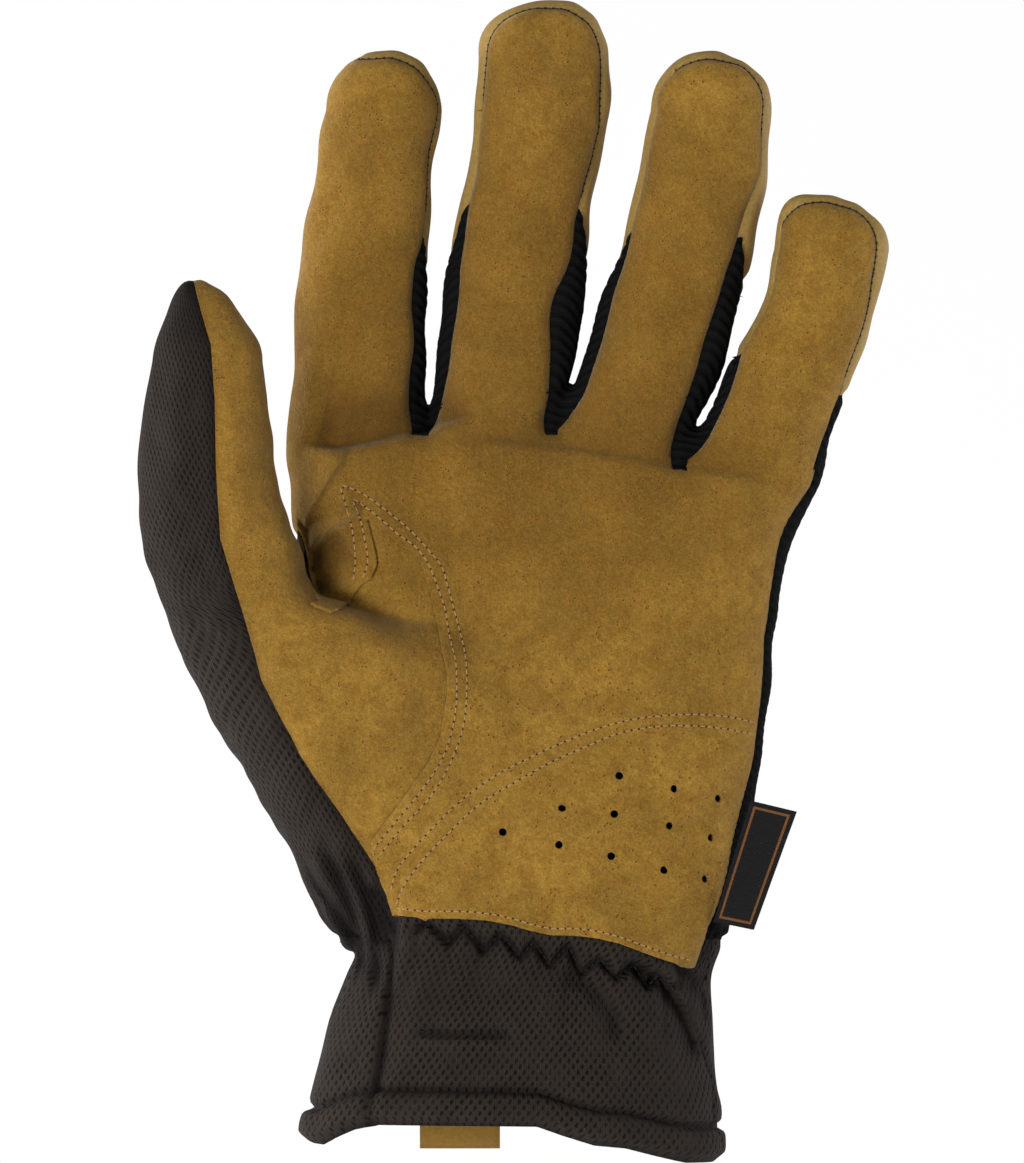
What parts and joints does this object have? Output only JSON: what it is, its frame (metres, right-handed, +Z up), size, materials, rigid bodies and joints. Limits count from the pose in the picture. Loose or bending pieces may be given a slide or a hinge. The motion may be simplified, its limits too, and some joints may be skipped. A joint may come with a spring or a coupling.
{
  "type": "work glove",
  "caption": "Left-hand work glove with a suede leather palm, stretch gussets between the fingers, a mesh knit back and a gathered slip-on cuff.",
  "frame": {"origin": "middle of the wrist opening, in the plane of the cuff's hem", "axes": "+Z up along the hand to the fingers, +Y towards the back of the hand, so the palm faces -Y and the thumb is towards -X"},
  "size_m": [0.1611, 0.0633, 0.2513],
  "materials": {
    "suede": "napped pigskin suede",
    "smooth_leather": "smooth, semi-matt",
    "knit": "birdseye mesh knit",
    "stretch": "ribbed stretch knit",
    "label": "fine woven tape"
  },
  "bodies": {
    "root": {"palm_leather": "suede", "thumb_leather": "suede", "thumb_knit": "knit", "back_knit": "knit", "side_strip": "stretch", "cuff_front": "knit", "cuff_back": "knit", "pull_tab": "smooth_leather", "label": "label", "gusset_index_middle": "stretch", "gusset_middle_ring": "stretch", "gusset_ring_little": "stretch", "index_tip": "smooth_leather", "middle_tip": "smooth_leather", "ring_tip": "smooth_leather", "little_tip": "smooth_leather"}
  },
  "joints": []
}
